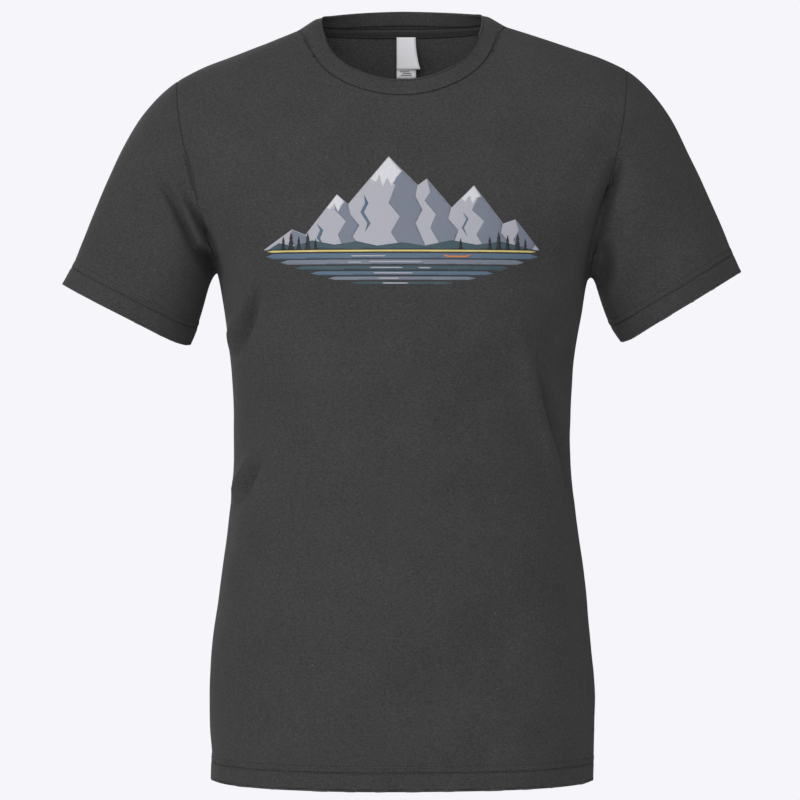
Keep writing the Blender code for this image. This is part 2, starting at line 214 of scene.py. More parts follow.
SLEEVE_SECTIONS = [
    (ARMPIT.xz, SHOULDER_POINT.xz, 0.076, 0.086),
    (Vector((0.179, -0.243)), Vector((0.246, -0.079)), 0.076, 0.082),
    (Vector((0.183, -0.261)), Vector((0.274, -0.135)), 0.067, 0.07),
    (Vector((0.188, -0.2815)), Vector((0.3065, -0.214)), 0.054, 0.055),
    (Vector((0.1965, -0.2985)), Vector((0.316, -0.232)), 0.049, 0.049),
]
SLEEVE_SIDES = 12
HANG_FROM_Z, HANG_FULL_Z = -0.45, -0.25
HANG_FULL_X = 0.12
HANG_TILT = 0.019
FORM_LEVELS = 4
FRONT, BACK, SLEEVE, BAND = 0, 1, 2, 3


def eased(share):
    """Goes smoothly from 0 to 1 as share does."""
    share = min(1.0, max(0.0, share))
    return share * share * (3 - 2 * share)


def oval_row(z_centre, z_side, half_width, depth, facing):
    """Points of a quarter of the body's oval section, from the centre line to the side."""
    row = []
    for column in range(COLUMNS + 1):
        share = column / COLUMNS
        angle = share * math.pi / 2
        x = half_width * math.sin(angle) ** (2 / SQUARENESS)
        y = facing * depth * math.cos(angle) ** (2 / SQUARENESS) if column < COLUMNS else 0.0
        row.append(Vector((x, y, z_centre + (z_side - z_centre) * share**2)))
    return row


def chest_row(centre, armhole_point):
    """A row above the armpits, from the centre line round to a point of the armhole."""
    y_centre, z_centre = centre
    row = []
    for column in range(COLUMNS):
        share = column / COLUMNS
        across = 0.5 * share + 0.5 * math.sin(share * math.pi / 2)
        y = armhole_point.y + (y_centre - armhole_point.y) * (1 - share**2.1)
        z = z_centre + (armhole_point.z - z_centre) * share
        row.append(Vector((armhole_point.x * across, y, z)))
    return row + [armhole_point]


def sleeve_ring(section):
    """Points round the sleeve, from the underarm over the front to the top and back down behind."""
    inner, outer, depth_front, depth_back = section
    middle, reach = (inner + outer) / 2, (outer - inner) / 2
    ring = []
    for side in range(SLEEVE_SIDES):
        angle = 2 * math.pi * side / SLEEVE_SIDES
        place = middle - reach * math.cos(angle)
        depth = depth_front if math.sin(angle) > 0 else depth_back
        ring.append(Vector((place.x, -depth * math.sin(angle), place.y)))
    return ring


def body_net(facing):
    """The control points of half of the front (-1) or back (+1) panel, in rows from the hem up."""
    armhole = sleeve_ring(SLEEVE_SECTIONS[0])
    armhole_up = armhole[1:6] if facing < 0 else armhole[:6:-1]
    depth_index = 2 if facing < 0 else 3
    net = [oval_row(s[0], s[0], s[1], s[depth_index], facing) for s in BODY_SECTIONS]
    net.append(oval_row(ARMPIT_CENTRE_Z[facing], ARMPIT.z, ARMPIT.x, ARMPIT_DEPTHS[facing], facing))
    centre_line = CHEST_LINE if facing < 0 else BACK_LINE
    net += [chest_row(centre, point) for centre, point in zip(centre_line, armhole_up)]
    net.append([Vector(p) for p in YOKE[facing]] + [armhole_up[4]])
    net.append([Vector(p) for p in NECKLINE[facing]] + [NECK_POINT, SHOULDER_MIDDLE, SHOULDER_POINT])
    return net


def band_net():
    """The control points of the neckband, once round from the middle of the front, as three rings."""
    lower, upper = [], []
    for facing in (-1, 1):
        low = [Vector(p) for p in NECKLINE[facing]] + [NECK_POINT]
        high = [Vector(p) for p in BAND_EDGE[facing]] + [Vector(BAND_EDGE_NECK_POINT)]
        if facing > 0:
            low, high = low[-2::-1], high[-2::-1]
        lower, upper = lower + low, upper + high
    lower += [flipped @ p for p in lower[-2::-1]]
    upper += [flipped @ p for p in upper[-2::-1]]
    middle = [(a + b) / 2 for a, b in zip(lower, upper)]
    return [lower, middle, upper]


def sewn_patch(mesh, net, tag, u_step=0.0):
    """Lays a grid over the points of net, marks its faces with a panel's tag, and gives it UVs in metres.

    u_step makes the whole length of a closed patch a multiple of that step.
    """
    rows, columns = len(net) - 1, len(net[0]) - 1
    made = bmesh.ops.create_grid(mesh, x_segments=columns, y_segments=rows, size=1.0)
    places = {v: (round((v.co.y + 1) / 2 * rows), round((v.co.x + 1) / 2 * columns)) for v in made["verts"]}
    along = [[0.0] for _ in net]
    for row, points in enumerate(net):
        for a, b in zip(points, points[1:]):
            along[row].append(along[row][-1] + (b - a).length)
    up = [[0.0] * (columns + 1)]
    for lower, upper in zip(net, net[1:]):
        up.append([up[-1][i] + (b - a).length for i, (a, b) in enumerate(zip(lower, upper))])
    layer = mesh.loops.layers.uv["UVMap"]
    for face in {f for v in made["verts"] for f in v.link_faces}:
        face.material_index = tag
        for loop in face.loops:
            row, column = places[loop.vert]
            scale = round(along[row][-1] / u_step) * u_step / along[row][-1] if u_step else 1.0
            loop[layer].uv = (along[row][column] * scale, up[row][column])
    for edge in {e for v in places for e in v.link_edges}:
        edge.seam = tag == SLEEVE and {places[v][1] for v in edge.verts} in ({0}, {columns})
    for vertex, (row, column) in places.items():
        vertex.co = net[row][column]


def finished_mesh(made):
    """The mesh that an object's modifiers make. The object itself is taken away."""
    bpy.context.view_layer.update()
    mesh = bpy.data.meshes.new_from_object(made.evaluated_get(bpy.context.evaluated_depsgraph_get()))
    bpy.data.objects.remove(made)
    return mesh


RIB_PITCH = 0.0014
ARMPIT_SHARPNESS = 0.75
LEFT_ARM_DROP, RIGHT_ARM_RISE, RIGHT_ARM_IN, ARM_REACH = 0.0055, 0.0035, 0.003, 0.07
RIGHT_SHOULDER_DROP = {"middle": 0.005, "point": 0.003}
HEM_CORNER_LIFT = 0.0065
LEFT_CUFF_OUT = {-1: 0.0075, -2: 0.004}
flipped = Matrix.Diagonal((-1.0, 1.0, 1.0))
form_cage = bmesh.new()
form_cage.loops.layers.uv.new("UVMap")
for side in (1, -1):
    turn = Matrix.Diagonal((float(side), 1.0, 1.0))
    for facing, tag in ((-1, FRONT), (1, BACK)):
        sewn_patch(form_cage, [[turn @ p for p in row] for row in body_net(facing)], tag)
    sleeve_rings = [sleeve_ring(section) for section in SLEEVE_SECTIONS]
    sleeve_rings[-1][0] += HEM_CORNER_LIFT * (sleeve_rings[-2][0] - sleeve_rings[-1][0]).normalized()
    for ring, out in LEFT_CUFF_OUT.items():
        for corner in (0, 1, -1):
            sleeve_rings[ring][corner].x += out * (side > 0) * (1.0 if corner == 0 else 0.5)
    sewn_patch(form_cage, [[turn @ p for p in ring + ring[:1]] for ring in sleeve_rings], SLEEVE)
sewn_patch(form_cage, band_net(), BAND, RIB_PITCH)
bmesh.ops.remove_doubles(form_cage, verts=form_cage.verts, dist=1e-5)
held_sharp = form_cage.verts.layers.float.new("crease_vert")
for vertex in form_cage.verts:
    if (vertex.co - flipped @ ARMPIT).length < 1e-4:
        vertex[held_sharp] = ARMPIT_SHARPNESS
    for place, drop in ((SHOULDER_MIDDLE, "middle"), (SHOULDER_POINT, "point")):
        if (vertex.co - flipped @ place).length < 1e-4:
            vertex.co.z -= RIGHT_SHOULDER_DROP[drop]
    if abs(vertex.co.x) > ARMPIT.x - 0.001 and vertex.co.z > HEM_Z / 2:
        side = 1 if vertex.co.x > 0 else -1
        near = math.exp(-(((vertex.co.xz - Vector((side * ARMPIT.x, ARMPIT.z))).length / ARM_REACH) ** 2))
        vertex.co.z += (-LEFT_ARM_DROP if side > 0 else RIGHT_ARM_RISE) * near
        vertex.co.x += RIGHT_ARM_IN * near * (side < 0)
    height = eased((vertex.co.z - HANG_FROM_Z) / (HANG_FULL_Z - HANG_FROM_Z))
    vertex.co.z += HANG_TILT * vertex.co.x * eased(abs(vertex.co.x) / HANG_FULL_X) * height
bmesh.ops.recalc_face_normals(form_cage, faces=form_cage.faces)
form_object = object_from(form_cage, "form")
for tag in ("front", "back", "sleeve", "band"):
    form_object.data.materials.append(bpy.data.materials.new("tag_" + tag))
smoothing = form_object.modifiers.new("smooth", "SUBSURF")
smoothing.levels = smoothing.render_levels = FORM_LEVELS
form = finished_mesh(form_object)

# Folds. The cloth creases at the armpits, sags at the waist and ripples everywhere. Each fold is a line of
# (x, z, depth) in millimetres, seen from the front (-1) or the back (1): a hollow, with a ridge on one
# side. Creases are pushed straight in, and drapes move along the cloth's normal.
PER_METRE = 1000
CREASES = [
    # facing, half width, ridge's share of the depth (on the line's right if positive), points
    (-1, 4.6, -0.45, [(-238, -126, 0), (-222, -146, 5), (-209, -167, 9), (-200, -187, 11),
     (-192, -204, 10), (-182, -217, 5)]),
    (-1, 3.8, -0.35, [(-203, -154, 0), (-196, -166, 5), (-188, -178, 9), (-181, -190, 10),
     (-175.5, -202, 10), (-173, -213, 5)]),
    (-1, 6.2, 0, [(-187, -204, 0), (-181, -210.5, 24), (-176.5, -217, 32), (-174.5, -225, 22)]),
    (-1, 6, 0.25, [(-181, -160, 0), (-177, -172, 3), (-173, -190, 4), (-169, -220, 3), (-167, -250, 0)]),
    (-1, 6.4, 0.15, [(203, -118, 0), (198, -131, 9), (193, -146, 15), (187, -163, 17), (181, -183, 17),
     (177, -203, 16), (175, -222, 12), (173, -238, 4)]),
    (-1, 5.2, -0.35, [(184, -200, 0), (188, -210, 9), (190, -221, 15), (187, -233, 15), (182, -245, 10)]),
    (-1, 22, -0.4, [(-262, -110, 0), (-248, -160, 3), (-238, -215, 3), (-236, -260, 0)]),
    (-1, 22, 0.4, [(262, -106, 0), (248, -155, 3), (238, -210, 3), (236, -255, 0)]),
    (1, 7, -0.45, [(-222, -120, 0), (-208, -145, 6), (-196, -168, 9), (-186, -192, 10), (-178, -215, 4)]),
    (1, 7, 0.45, [(222, -120, 0), (208, -145, 6), (196, -168, 9), (186, -192, 10), (178, -215, 4)]),
]
DRAPES = [
    (-1, 4.8, 0.5, [(-130, -239, 0), (-137, -257, 7), (-144, -275, 11), (-151, -291, 11),
     (-158, -308, 0)]),
    (-1, 4, 0.5, [(-125, -393, 0), (-134, -406, 6), (-141.5, -418, 10), (-148, -431, 10),
     (-154, -443, 0)]),
    (-1, 7, 0.55, [(117, -272, 0), (128, -310, 6), (138, -350, 10), (147, -384, 13), (153.5, -412, 12),
     (160, -440, 0)]),
    (-1, 17, 0.4, [(132, -245, 0), (146, -280, 7), (151, -320, 9), (155, -365, 0)]),
    (-1, 30, 0.3, [(-100, -520, 0), (-80, -570, 3.5), (-50, -620, 3), (-30, -665, 0)]),
    (-1, 30, -0.3, [(110, -505, 0), (85, -560, 3.5), (60, -610, 3), (45, -660, 0)]),
    (1, 12, -0.5, [(-112, -225, 0), (-128, -252, 5), (-144, -285, 6), (-158, -325, 0)]),
    (1, 12, 0.5, [(112, -225, 0), (128, -252, 5), (144, -285, 6), (158, -325, 0)]),
    (1, 18, -0.5, [(-30, -320, 0), (-70, -350, 4), (-110, -392, 6), (-150, -445, 0)]),
    (1, 18, 0.5, [(20, -335, 0), (62, -362, 4), (106, -402, 6), (148, -452, 0)]),
    (1, 20, 0.4, [(-20, -400, 0), (30, -428, 4), (80, -470, 5), (130, -530, 0)]),
    (1, 20, -0.4, [(0, -455, 0), (-45, -485, 3), (-90, -530, 4), (-130, -585, 0)]),
    (1, 22, 0.3, [(-55, -60, 0), (-45, -110, 2), (-42, -160, 2), (-48, -210, 0)]),
    (1, 22, -0.3, [(55, -60, 0), (48, -110, 2), (44, -160, 2), (50, -210, 0)]),
]
RIDGE_AWAY, RIDGE_SPREAD = 1.7, 1.2
CREASES_END_AT, CREASES_FADE, DRAPES_FADE = 0.02, 0.3, 0.28
RIPPLES = [(0.105, 0.002), (0.045, 0.0011), (0.022, 0.0003)]
STILL_NEAR_NECK = 0.03
HEMS_BELOW_Z = -0.1
STITCH_ROWS = (0.0168, 0.0222)
SLEEVE_HEM_LONGER = 0.0012
SLEEVES_FROM_X = ARMPIT.x + 0.008
STITCH_SINK, STITCH_SINK_WIDTH = 0.0005, 0.0016
HEM_THICKER, HEM_FADE = 0.0006, 0.002
PUCKERS = 0.0005
PUCKER_SIZE = np.array((0.009, 0.009, 0.03))
PUCKER_REACH = 0.009


def vertex_array(mesh, layer, name):
    """The places or normals of a mesh's vertices as an array with three columns."""
    values = np.empty(len(mesh.vertices) * 3, np.float32)
    layer.foreach_get(name, values)
    return values.reshape(-1, 3).astype(float)


def rounded_line(line):
    """Cuts the corners of a line of points twice, and leaves its ends."""
    for _ in range(2):
        cut = [line[0]]
        for a, b in zip(line, line[1:]):
            cut += [a * 0.75 + b * 0.25, a * 0.25 + b * 0.75]
        line = cut + [line[-1]]
    return line


def fold_depths(seen, width, ridge, line):
    """How far one fold lifts each of the seen (x, z) places: up on its ridge, down in its hollow."""
    width = width / PER_METRE
    line = rounded_line([np.array(p) / PER_METRE for p in line])
    nearest = np.full(len(seen), np.inf)
    across = np.zeros(len(seen))
    depth = np.zeros(len(seen))
    for a, b in zip(line, line[1:]):
        step = b[:2] - a[:2]
        length = np.hypot(*step)
        share = np.clip((seen - a[:2]) @ step / length**2, 0, 1)
        off = seen - a[:2] - share[:, None] * step
        distance = np.hypot(off[:, 0], off[:, 1])
        side = np.sign(step[1] * off[:, 0] - step[0] * off[:, 1])
        closer = distance < nearest
        nearest[closer] = distance[closer]
        across[closer] = (distance * side)[closer]
        depth[closer] = (a[2] + share * (b[2] - a[2]))[closer]
    crest = RIDGE_AWAY * width * np.sign(ridge)
    raised = abs(ridge) * np.exp(-(((across - crest) / (RIDGE_SPREAD * width)) ** 2))
    return depth * (raised - np.exp(-((across / width) ** 2)))


def distance_to(points, targets):
    """The distance from each point to the nearest of the targets."""
    tree = KDTree(len(targets))
    for index, target in enumerate(targets):
        tree.insert(target, index)
    tree.balance()
    return np.array([tree.find(point)[2] for point in points])


def chains(edges):
    """Puts loose edges into ordered lines of vertices. A closed line starts and ends with the same one."""
    links = {}
    for edge in edges:
        for vertex in edge.verts:
            links.setdefault(vertex, []).append(edge.other_vert(vertex))
    lines = []
    left = sorted(links, key=lambda v: (len(links[v]), v.index))
    used = set()
    for start in left:
        if start in used:
            continue
        line = [start]
        used.add(start)
        while True:
            onward = [v for v in links[line[-1]] if v not in used]
            if not onward:
                break
            line.append(onward[0])
            used.add(onward[0])
        if len(line) > 2 and start in links[line[-1]]:
            line.append(start)
        lines.append(line)
    return lines


places = vertex_array(form, form.vertices, "co")
outward = vertex_array(form, form.vertex_normals, "vector")
form_mesh = bmesh.new()
form_mesh.from_mesh(form)
free_edges = chains([e for e in form_mesh.edges if e.is_boundary])
hems = [line for line in free_edges if sum(v.co.z for v in line) / len(line) < HEMS_BELOW_Z]
hem_points = [v.co.copy() for line in hems for v in line]
band_points = [v.co.copy() for v in form_mesh.verts if any(f.material_index == BAND for f in v.link_faces)]
hem_rise = distance_to(places, hem_points)
hem_rise[np.abs(places[:, 0]) > SLEEVES_FROM_X] -= SLEEVE_HEM_LONGER
neck_distance = distance_to(places, band_points)
reach = -CAMERA_PLACE.y / (places[:, 1] - CAMERA_PLACE.y)
from_behind = places[:, [0, 2]]
aim = np.array((CAMERA_PLACE.x, SHIRT_MIDDLE_Z))
from_front = aim + (from_behind - aim) * reach[:, None]
creased = np.zeros(len(places))
lift = np.zeros(len(places))
for kind in (CREASES, DRAPES):
    for facing, width, ridge, line in kind:
        seen = from_front if facing < 0 else from_behind
        towards = outward[:, 1] * facing
        depth = fold_depths(seen, width, ridge, line)
        if kind is CREASES:
            creased += facing * depth * np.clip((towards - CREASES_END_AT) / CREASES_FADE, 0, 1)
        else:
            lift += depth * np.clip(towards / DRAPES_FADE, 0, 1)
for wavelength, height in RIPPLES:
    lift += height * np.array([noise.noise(Vector(p) / wavelength) for p in places])
for row in STITCH_ROWS:
    lift -= STITCH_SINK * np.exp(-(((hem_rise - row) / STITCH_SINK_WIDTH) ** 2))
lift += HEM_THICKER * np.clip((STITCH_ROWS[1] - hem_rise) / HEM_FADE + 1, 0, 1)
along_hem = np.array([noise.noise(Vector(p / PUCKER_SIZE)) for p in places])
lift += PUCKERS * along_hem * np.exp(-(((hem_rise - STITCH_ROWS[1]) / PUCKER_REACH) ** 2))
still = np.clip(neck_distance / STILL_NEAR_NECK, 0, 1) ** 1.5
places += outward * (lift * still)[:, None]
places[:, 1] += creased * still
form.vertices.foreach_set("co", places.astype(np.float32).ravel())
form.attributes.new("hem_rise", "FLOAT", "POINT").data.foreach_set("value", hem_rise.astype(np.float32))
form.update()
form_mesh.free()

# Jersey panels. The front and the back are cut from dark grey cotton jersey and sewn to each other at the
# shoulders and sides, to the sleeves at the armholes. The sewn edges roll down into their seams. The lower
# edges are turned up inside, where two rows of stitches hold them.
JERSEY_THICKNESS = 0.0007
HEM_DEPTH = 0.0255
HEM_RADIUS = 0.001
SEAM_ROLL = 0.0017
SEAM_SINK = 0.0009
SEAM_STEPS = (1.0, 0.38, 0.08)
JERSEY_COLOUR = (0.048, 0.048, 0.048)
# The reverse side is lighter: partly the knit's own reverse side, partly painted light for the shirt's
# shaded inside.
JERSEY_REVERSE_AND_PAINTED_LIGHT_COLOUR = (0.068, 0.068, 0.068)
WALE, COURSE = 0.00085, 0.00065
FLECK_SIZE, LINT_SPACING = 0.0021, 0.011


def cut_from_form(tag, keep=lambda centre: True):
    """The faces of the form in one panel. Its points remember the form's free edges and its normals."""
    mesh = bmesh.new()
    mesh.from_mesh(form)
    free = mesh.verts.layers.int.new("free_edge")
    sewn_normal = mesh.verts.layers.float_vector.new("sewn_normal")
    for vertex in mesh.verts:
        vertex[free] = int(vertex.is_boundary)
        vertex[sewn_normal] = vertex.normal
    rest = [f for f in mesh.faces if f.material_index != tag or not keep(f.calc_center_median())]
    bmesh.ops.delete(mesh, geom=rest, context="FACES")
    for face in mesh.faces:
        face.material_index = 0
    mesh.normal_update()
    return mesh


def roll_seams(mesh):
    """Rounds a panel's sewn edges down into their seams, by way of three narrow rings of faces."""
    free = mesh.verts.layers.int["free_edge"]
    region = mesh.faces[:]
    for _ in SEAM_STEPS:
        made = bmesh.ops.inset_region(
            mesh,
            faces=region,
            thickness=SEAM_ROLL / len(SEAM_STEPS),
            use_boundary=True,
            use_even_offset=False,
            use_interpolate=True,
        )
        ring = set(made["faces"])
        region = [f for f in region if f not in ring]
    sewn_normal = mesh.verts.layers.float_vector["sewn_normal"]
    line = {v: v[sewn_normal].normalized() for v in mesh.verts if v.is_boundary}
    sewn = {v: normal for v, normal in line.items() if not v[free]}
    reached = set(line)
    for share in SEAM_STEPS:
        inner = {}
        for vertex, normal in sewn.items():
            vertex.co -= normal * SEAM_SINK * share
            for edge in vertex.link_edges:
                if edge.other_vert(vertex) not in reached:
                    inner[edge.other_vert(vertex)] = normal
        sewn = inner
        reached |= set(inner)
    mesh.normal_update()


def new_points(made):
    """The vertices among what an operator made."""
    return [v for v in made["geom"] if isinstance(v, bmesh.types.BMVert)]


def turn_in(mesh, depth, radius, rows=8, half_turn=5):
    """Turns a panel's free edge round a half circle and lays it against the inside for depth metres."""
    free = mesh.verts.layers.int["free_edge"]
    uv = mesh.loops.layers.uv["UVMap"]
    outside = BVHTree.FromBMesh(mesh)
    edges = [e for e in mesh.edges if e.is_boundary and all(v[free] for v in e.verts)]
    rim = {v for e in edges for v in e.verts}
    turning = {}
    for vertex in rim:
        inner = [e.other_vert(vertex).co for e in vertex.link_edges if e.other_vert(vertex) not in rim]
        down = (vertex.co - sum(inner, Vector()) / len(inner)).normalized()
        corner = vertex.link_loops[0][uv].uv.copy()
        turning[vertex] = (vertex.co - down * radius, vertex.normal.copy(), down, corner, 0.0)
    for vertex, (start, *_) in turning.items():
        vertex.co = start
    angles = [math.pi * step / half_turn for step in range(1, half_turn + 1)]
    path = [(radius * (math.cos(a) - 1), radius * math.sin(a), radius * a) for a in angles]
    laid = [depth * row / rows for row in range(1, rows + 1)]
    path += [(-2 * radius, -length, radius * math.pi + length) for length in laid]
    for sideways, downwards, length in path:
        made = bmesh.ops.extrude_edge_only(mesh, edges=edges)
        new = new_points(made)
        is_new = set(new)
        made_edges = [e for e in made["geom"] if isinstance(e, bmesh.types.BMEdge)]
        edges = [e for e in made_edges if all(v in is_new for v in e.verts)]
        carried = {}
        for vertex in new:
            before = next(o for e in vertex.link_edges if (o := e.other_vert(vertex)) in turning)
            start, normal, down, corner, _ = turning[before]
            vertex.co = start + normal * sideways + down * downwards
            if downwards < 0:
                place, facing, _, _ = outside.find_nearest(vertex.co - normal * sideways)
                vertex.co = place + facing * sideways
            carried[vertex] = (start, normal, down, corner, length)
        for vertex in new:
            for loop in (loop for face in vertex.link_faces for loop in face.loops):
                *_, corner, turned = carried.get(loop.vert) or turning[loop.vert]
                loop[uv].uv = corner - Vector((0.0, turned))
        turning = carried


def cloth_piece(mesh, name, material, thickness=JERSEY_THICKNESS, reverse=None):
    """Makes a cut panel into a piece with the cloth's thickness, laid towards the inside.

    reverse is the material of its inner side, where that looks different.
    """
    for face in mesh.faces:
        face.smooth = True
    piece = object_from(mesh, name, material)
    body = piece.modifiers.new("thickness", "SOLIDIFY")
    body.thickness = thickness
    body.offset = -1.0
    if reverse:
        piece.data.materials.append(reverse)
        body.material_offset = 1
    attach(piece, "root")
    return piece


def sewn_panel(cut, name, material, depth=HEM_DEPTH, radius=HEM_RADIUS, reverse=None):
    """Makes a cut panel into its piece, with its seams rolled down and its free edge turned in."""
    roll_seams(cut)
    turn_in(cut, depth, radius)
    return cloth_piece(cut, name, material, reverse=reverse)


def node_group(name, inputs, outputs):
    """An empty shader node group with these sockets, its input node and its output node."""
    group = bpy.data.node_groups.new(name, "ShaderNodeTree")
    for socket, kind in inputs.items():
        group.interface.new_socket(socket, in_out="INPUT", socket_type=kind)
    for socket, kind in outputs.items():
        group.interface.new_socket(socket, in_out="OUTPUT", socket_type=kind)
    return group, group.nodes.new("NodeGroupInput").outputs, group.nodes.new("NodeGroupOutput")


def placed_group(tree, group, inputs):
    """Places a node group in a material with these values or sockets and gives its outputs."""
    return add_node(tree, "ShaderNodeGroup", inputs, node_tree=group).outputs


def feed_shader(tree, shader, colour, shade, bumps, rough=None):
    """Feeds a shader its colour times a shade, its roughness, and bumps of (strength, distance, height)."""
    tint = add_node(tree, "ShaderNodeVectorMath", {0: colour, "Scale": shade}, operation="SCALE")
    tree.links.new(tint.outputs[0], shader.inputs["Base Color"])
    if rough:
        tree.links.new(rough, shader.inputs["Roughness"])
    relief = {}
    for strength, distance, height in bumps:
        inputs = {"Strength": strength, "Distance": distance, "Height": height, **relief}
        relief = {"Normal": add_node(tree, "ShaderNodeBump", inputs).outputs[0]}
    tree.links.new(relief["Normal"], shader.inputs["Normal"])


def cloudy(tree, place, scale, detail, roughness):
    """Noise over a place, from 0 to 1."""
    inputs = {"Vector": place, "Scale": scale, "Detail": detail, "Roughness": roughness}
    return add_node(tree, "ShaderNodeTexNoise", inputs).outputs["Fac"]


FLOAT, VECTOR = "NodeSocketFloat", "NodeSocketVector"
TURN = 2 * math.pi

# Knit: columns of V-shaped loops, from a UV in metres, with a mask of the hollows between their legs for
# painted shade
knit, knit_in, knit_out = node_group(
    "knit_loops", {"UV": VECTOR, "Wale": FLOAT, "Course": FLOAT}, {"Height": FLOAT, "Gap Shade": FLOAT}
)
knit_uv = add_node(knit, "ShaderNodeSeparateXYZ", {0: knit_in["UV"]}).outputs
knit_column = maths(knit, "PINGPONG", maths(knit, "DIVIDE", knit_uv[0], knit_in["Wale"]), 0.5)
knit_row = maths(knit, "DIVIDE", knit_uv[1], knit_in["Course"])
knit_leg = maths(knit, "SINE", maths(knit, "MULTIPLY", knit_column, TURN))
knit_slant = maths(knit, "MULTIPLY", maths(knit, "ADD", knit_row, knit_column), TURN)
knit_loop = maths(knit, "MULTIPLY", maths(knit, "SINE", knit_slant), 0.35)
knit_height = maths(knit, "MULTIPLY_ADD", knit_leg, 0.65, knit_loop)
knit.links.new(knit_height, knit_out.inputs["Height"])
knit.links.new(maths(knit, "SUBTRACT", 1.0, knit_leg), knit_out.inputs["Gap Shade"])

# Yarn: cloudy shade, fine flecks of lighter and darker fibre, and a few pale specks of lint
yarn, yarn_in, yarn_out = node_group(
    "yarn_shade",
    {"Place": VECTOR, "Fleck Size": FLOAT, "Speck Spacing": FLOAT},
    {"Flecks": FLOAT, "Clouds": FLOAT, "Specks": FLOAT},
)
yarn_flat = vector_maths(yarn, "MULTIPLY", yarn_in["Place"], (1.0, 1.0, 1.9))
yarn_scale = maths(yarn, "DIVIDE", 1.0, yarn_in["Fleck Size"])
yarn.links.new(cloudy(yarn, yarn_flat, yarn_scale, 3.0, 0.65), yarn_out.inputs["Flecks"])
yarn.links.new(cloudy(yarn, yarn_in["Place"], 22.0, 4.0, 0.55), yarn_out.inputs["Clouds"])
cell_scale = maths(yarn, "DIVIDE", 1.0, yarn_in["Speck Spacing"])
cells = add_node(yarn, "ShaderNodeTexVoronoi", {"Vector": yarn_in["Place"], "Scale": cell_scale}).outputs
yarn_near = faded(yarn, cells["Distance"], 0.035, 0.065, kind="LINEAR")
yarn_pick = add_node(yarn, "ShaderNodeSeparateColor", {0: cells["Color"]}).outputs
yarn_chosen = maths(yarn, "MULTIPLY", maths(yarn, "GREATER_THAN", yarn_pick[0], 0.55), yarn_pick[1])
yarn_speck = maths(yarn, "MULTIPLY", yarn_near, yarn_chosen)
yarn.links.new(yarn_speck, yarn_out.inputs["Specks"])

# Stitch groove: the narrow hollows that the two rows of hem stitches pull into the cloth, a mask for their
# bump and for their painted shade
stitch_groove_and_shade, groove_in, groove_out = node_group("stitch_groove_and_shade", {"Rise": FLOAT}, {"Groove And Shade": FLOAT})
GROOVE_WIDTH = 0.0011
row_masks = []
for row, strength in zip(STITCH_ROWS, (1.0, 0.4)):
    off_row = maths(stitch_groove_and_shade, "ABSOLUTE", maths(stitch_groove_and_shade, "SUBTRACT", groove_in["Rise"], row))
    row_masks.append(faded(stitch_groove_and_shade, off_row, 0.0, GROOVE_WIDTH, strength))
stitch_groove_and_shade.links.new(maths(stitch_groove_and_shade, "MAXIMUM", *row_masks), groove_out.inputs["Groove And Shade"])


def cloth_material(name, colour, wale, course):
    """Knitted cotton: its loops follow the UV, its shade and creases lie in the object's own space."""
    material, tree, shader = plain_material(name, colour, 0.92)
    coordinates = add_node(tree, "ShaderNodeTexCoord").outputs
    place = coordinates["Object"]
    rise = add_node(tree, "ShaderNodeAttribute", attribute_name="hem_rise").outputs["Fac"]
    sizes = {"Fleck Size": FLECK_SIZE, "Speck Spacing": LINT_SPACING}
    shades = placed_group(tree, yarn, {"Place": place, **sizes})
    loops = placed_group(tree, knit, {"UV": coordinates["UV"], "Wale": wale, "Course": course})
    groove_and_shade = placed_group(tree, stitch_groove_and_shade, {"Rise": rise})["Groove And Shade"]
    flecked = maths(tree, "MULTIPLY_ADD", maths(tree, "SUBTRACT", shades["Flecks"], 0.5), 1.7, 1.0)
    clouded = maths(tree, "MULTIPLY_ADD", maths(tree, "SUBTRACT", shades["Clouds"], 0.5), 0.34, flecked)
    # Painted shade: the hollows between the knit's loops are darkened.
    gap_shaded = maths(tree, "MULTIPLY_ADD", loops["Gap Shade"], -0.22, maths(tree, "ADD", clouded, 0.1))
    specked = maths(tree, "MULTIPLY_ADD", shades["Specks"], 1.6, gap_shaded)
    # The stitch grooves darken the colour: painted shade in the hem's hollows, strongest at the lower row.
    shaded = maths(tree, "MULTIPLY_ADD", groove_and_shade, -0.45, specked)
    bumps = [
        (0.5, 0.0009, cloudy(tree, place, 75.0, 3.0, 0.5)),
        (0.55, 0.0004, shades["Flecks"]),
        (0.6, 0.00016, loops["Height"]),
        (1.0, 0.0009, maths(tree, "MULTIPLY", groove_and_shade, -1.0)),
    ]
    rough = maths(tree, "MULTIPLY_ADD", shades["Flecks"], 0.14, 0.83)
    feed_shader(tree, shader, colour, shaded, bumps, rough)
    shader.inputs["Sheen Weight"].default_value = 0.05
    shader.inputs["Sheen Roughness"].default_value = 0.5
    shader.inputs["Specular IOR Level"].default_value = 0.12
    return material


jersey = cloth_material("jersey_dark_grey", JERSEY_COLOUR, WALE, COURSE)
# The inner sides get the lighter reverse jersey: painted light inside the shirt, where little light
# reaches, besides the look of the knit's reverse.
jersey_reverse_and_painted_light = cloth_material("jersey_reverse_side_and_painted_light", JERSEY_REVERSE_AND_PAINTED_LIGHT_COLOUR, COURSE, WALE)
for name, tag, node in (("front_cloth", FRONT, "front_panel"), ("back_cloth", BACK, "back_panel")):
    sewn_panel(cut_from_form(tag), name, jersey, reverse=jersey_reverse_and_painted_light)
    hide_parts(node, "body_hem_fold")

# Sleeves. Each is one piece of the same jersey, sewn into a tube under the arm and set into the armhole.
# Its hem is turned up and stitched like the body's.
for side, sign in (("left", 1), ("right", -1)):
    sleeve = cut_from_form(SLEEVE, lambda centre: centre.x * sign > 0)
    sewn_panel(sleeve, f"sleeve_cloth_{side}", jersey, reverse=jersey_reverse_and_painted_light)
    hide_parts(f"sleeve_{side}", f"sleeve_hem_fold_{side}")

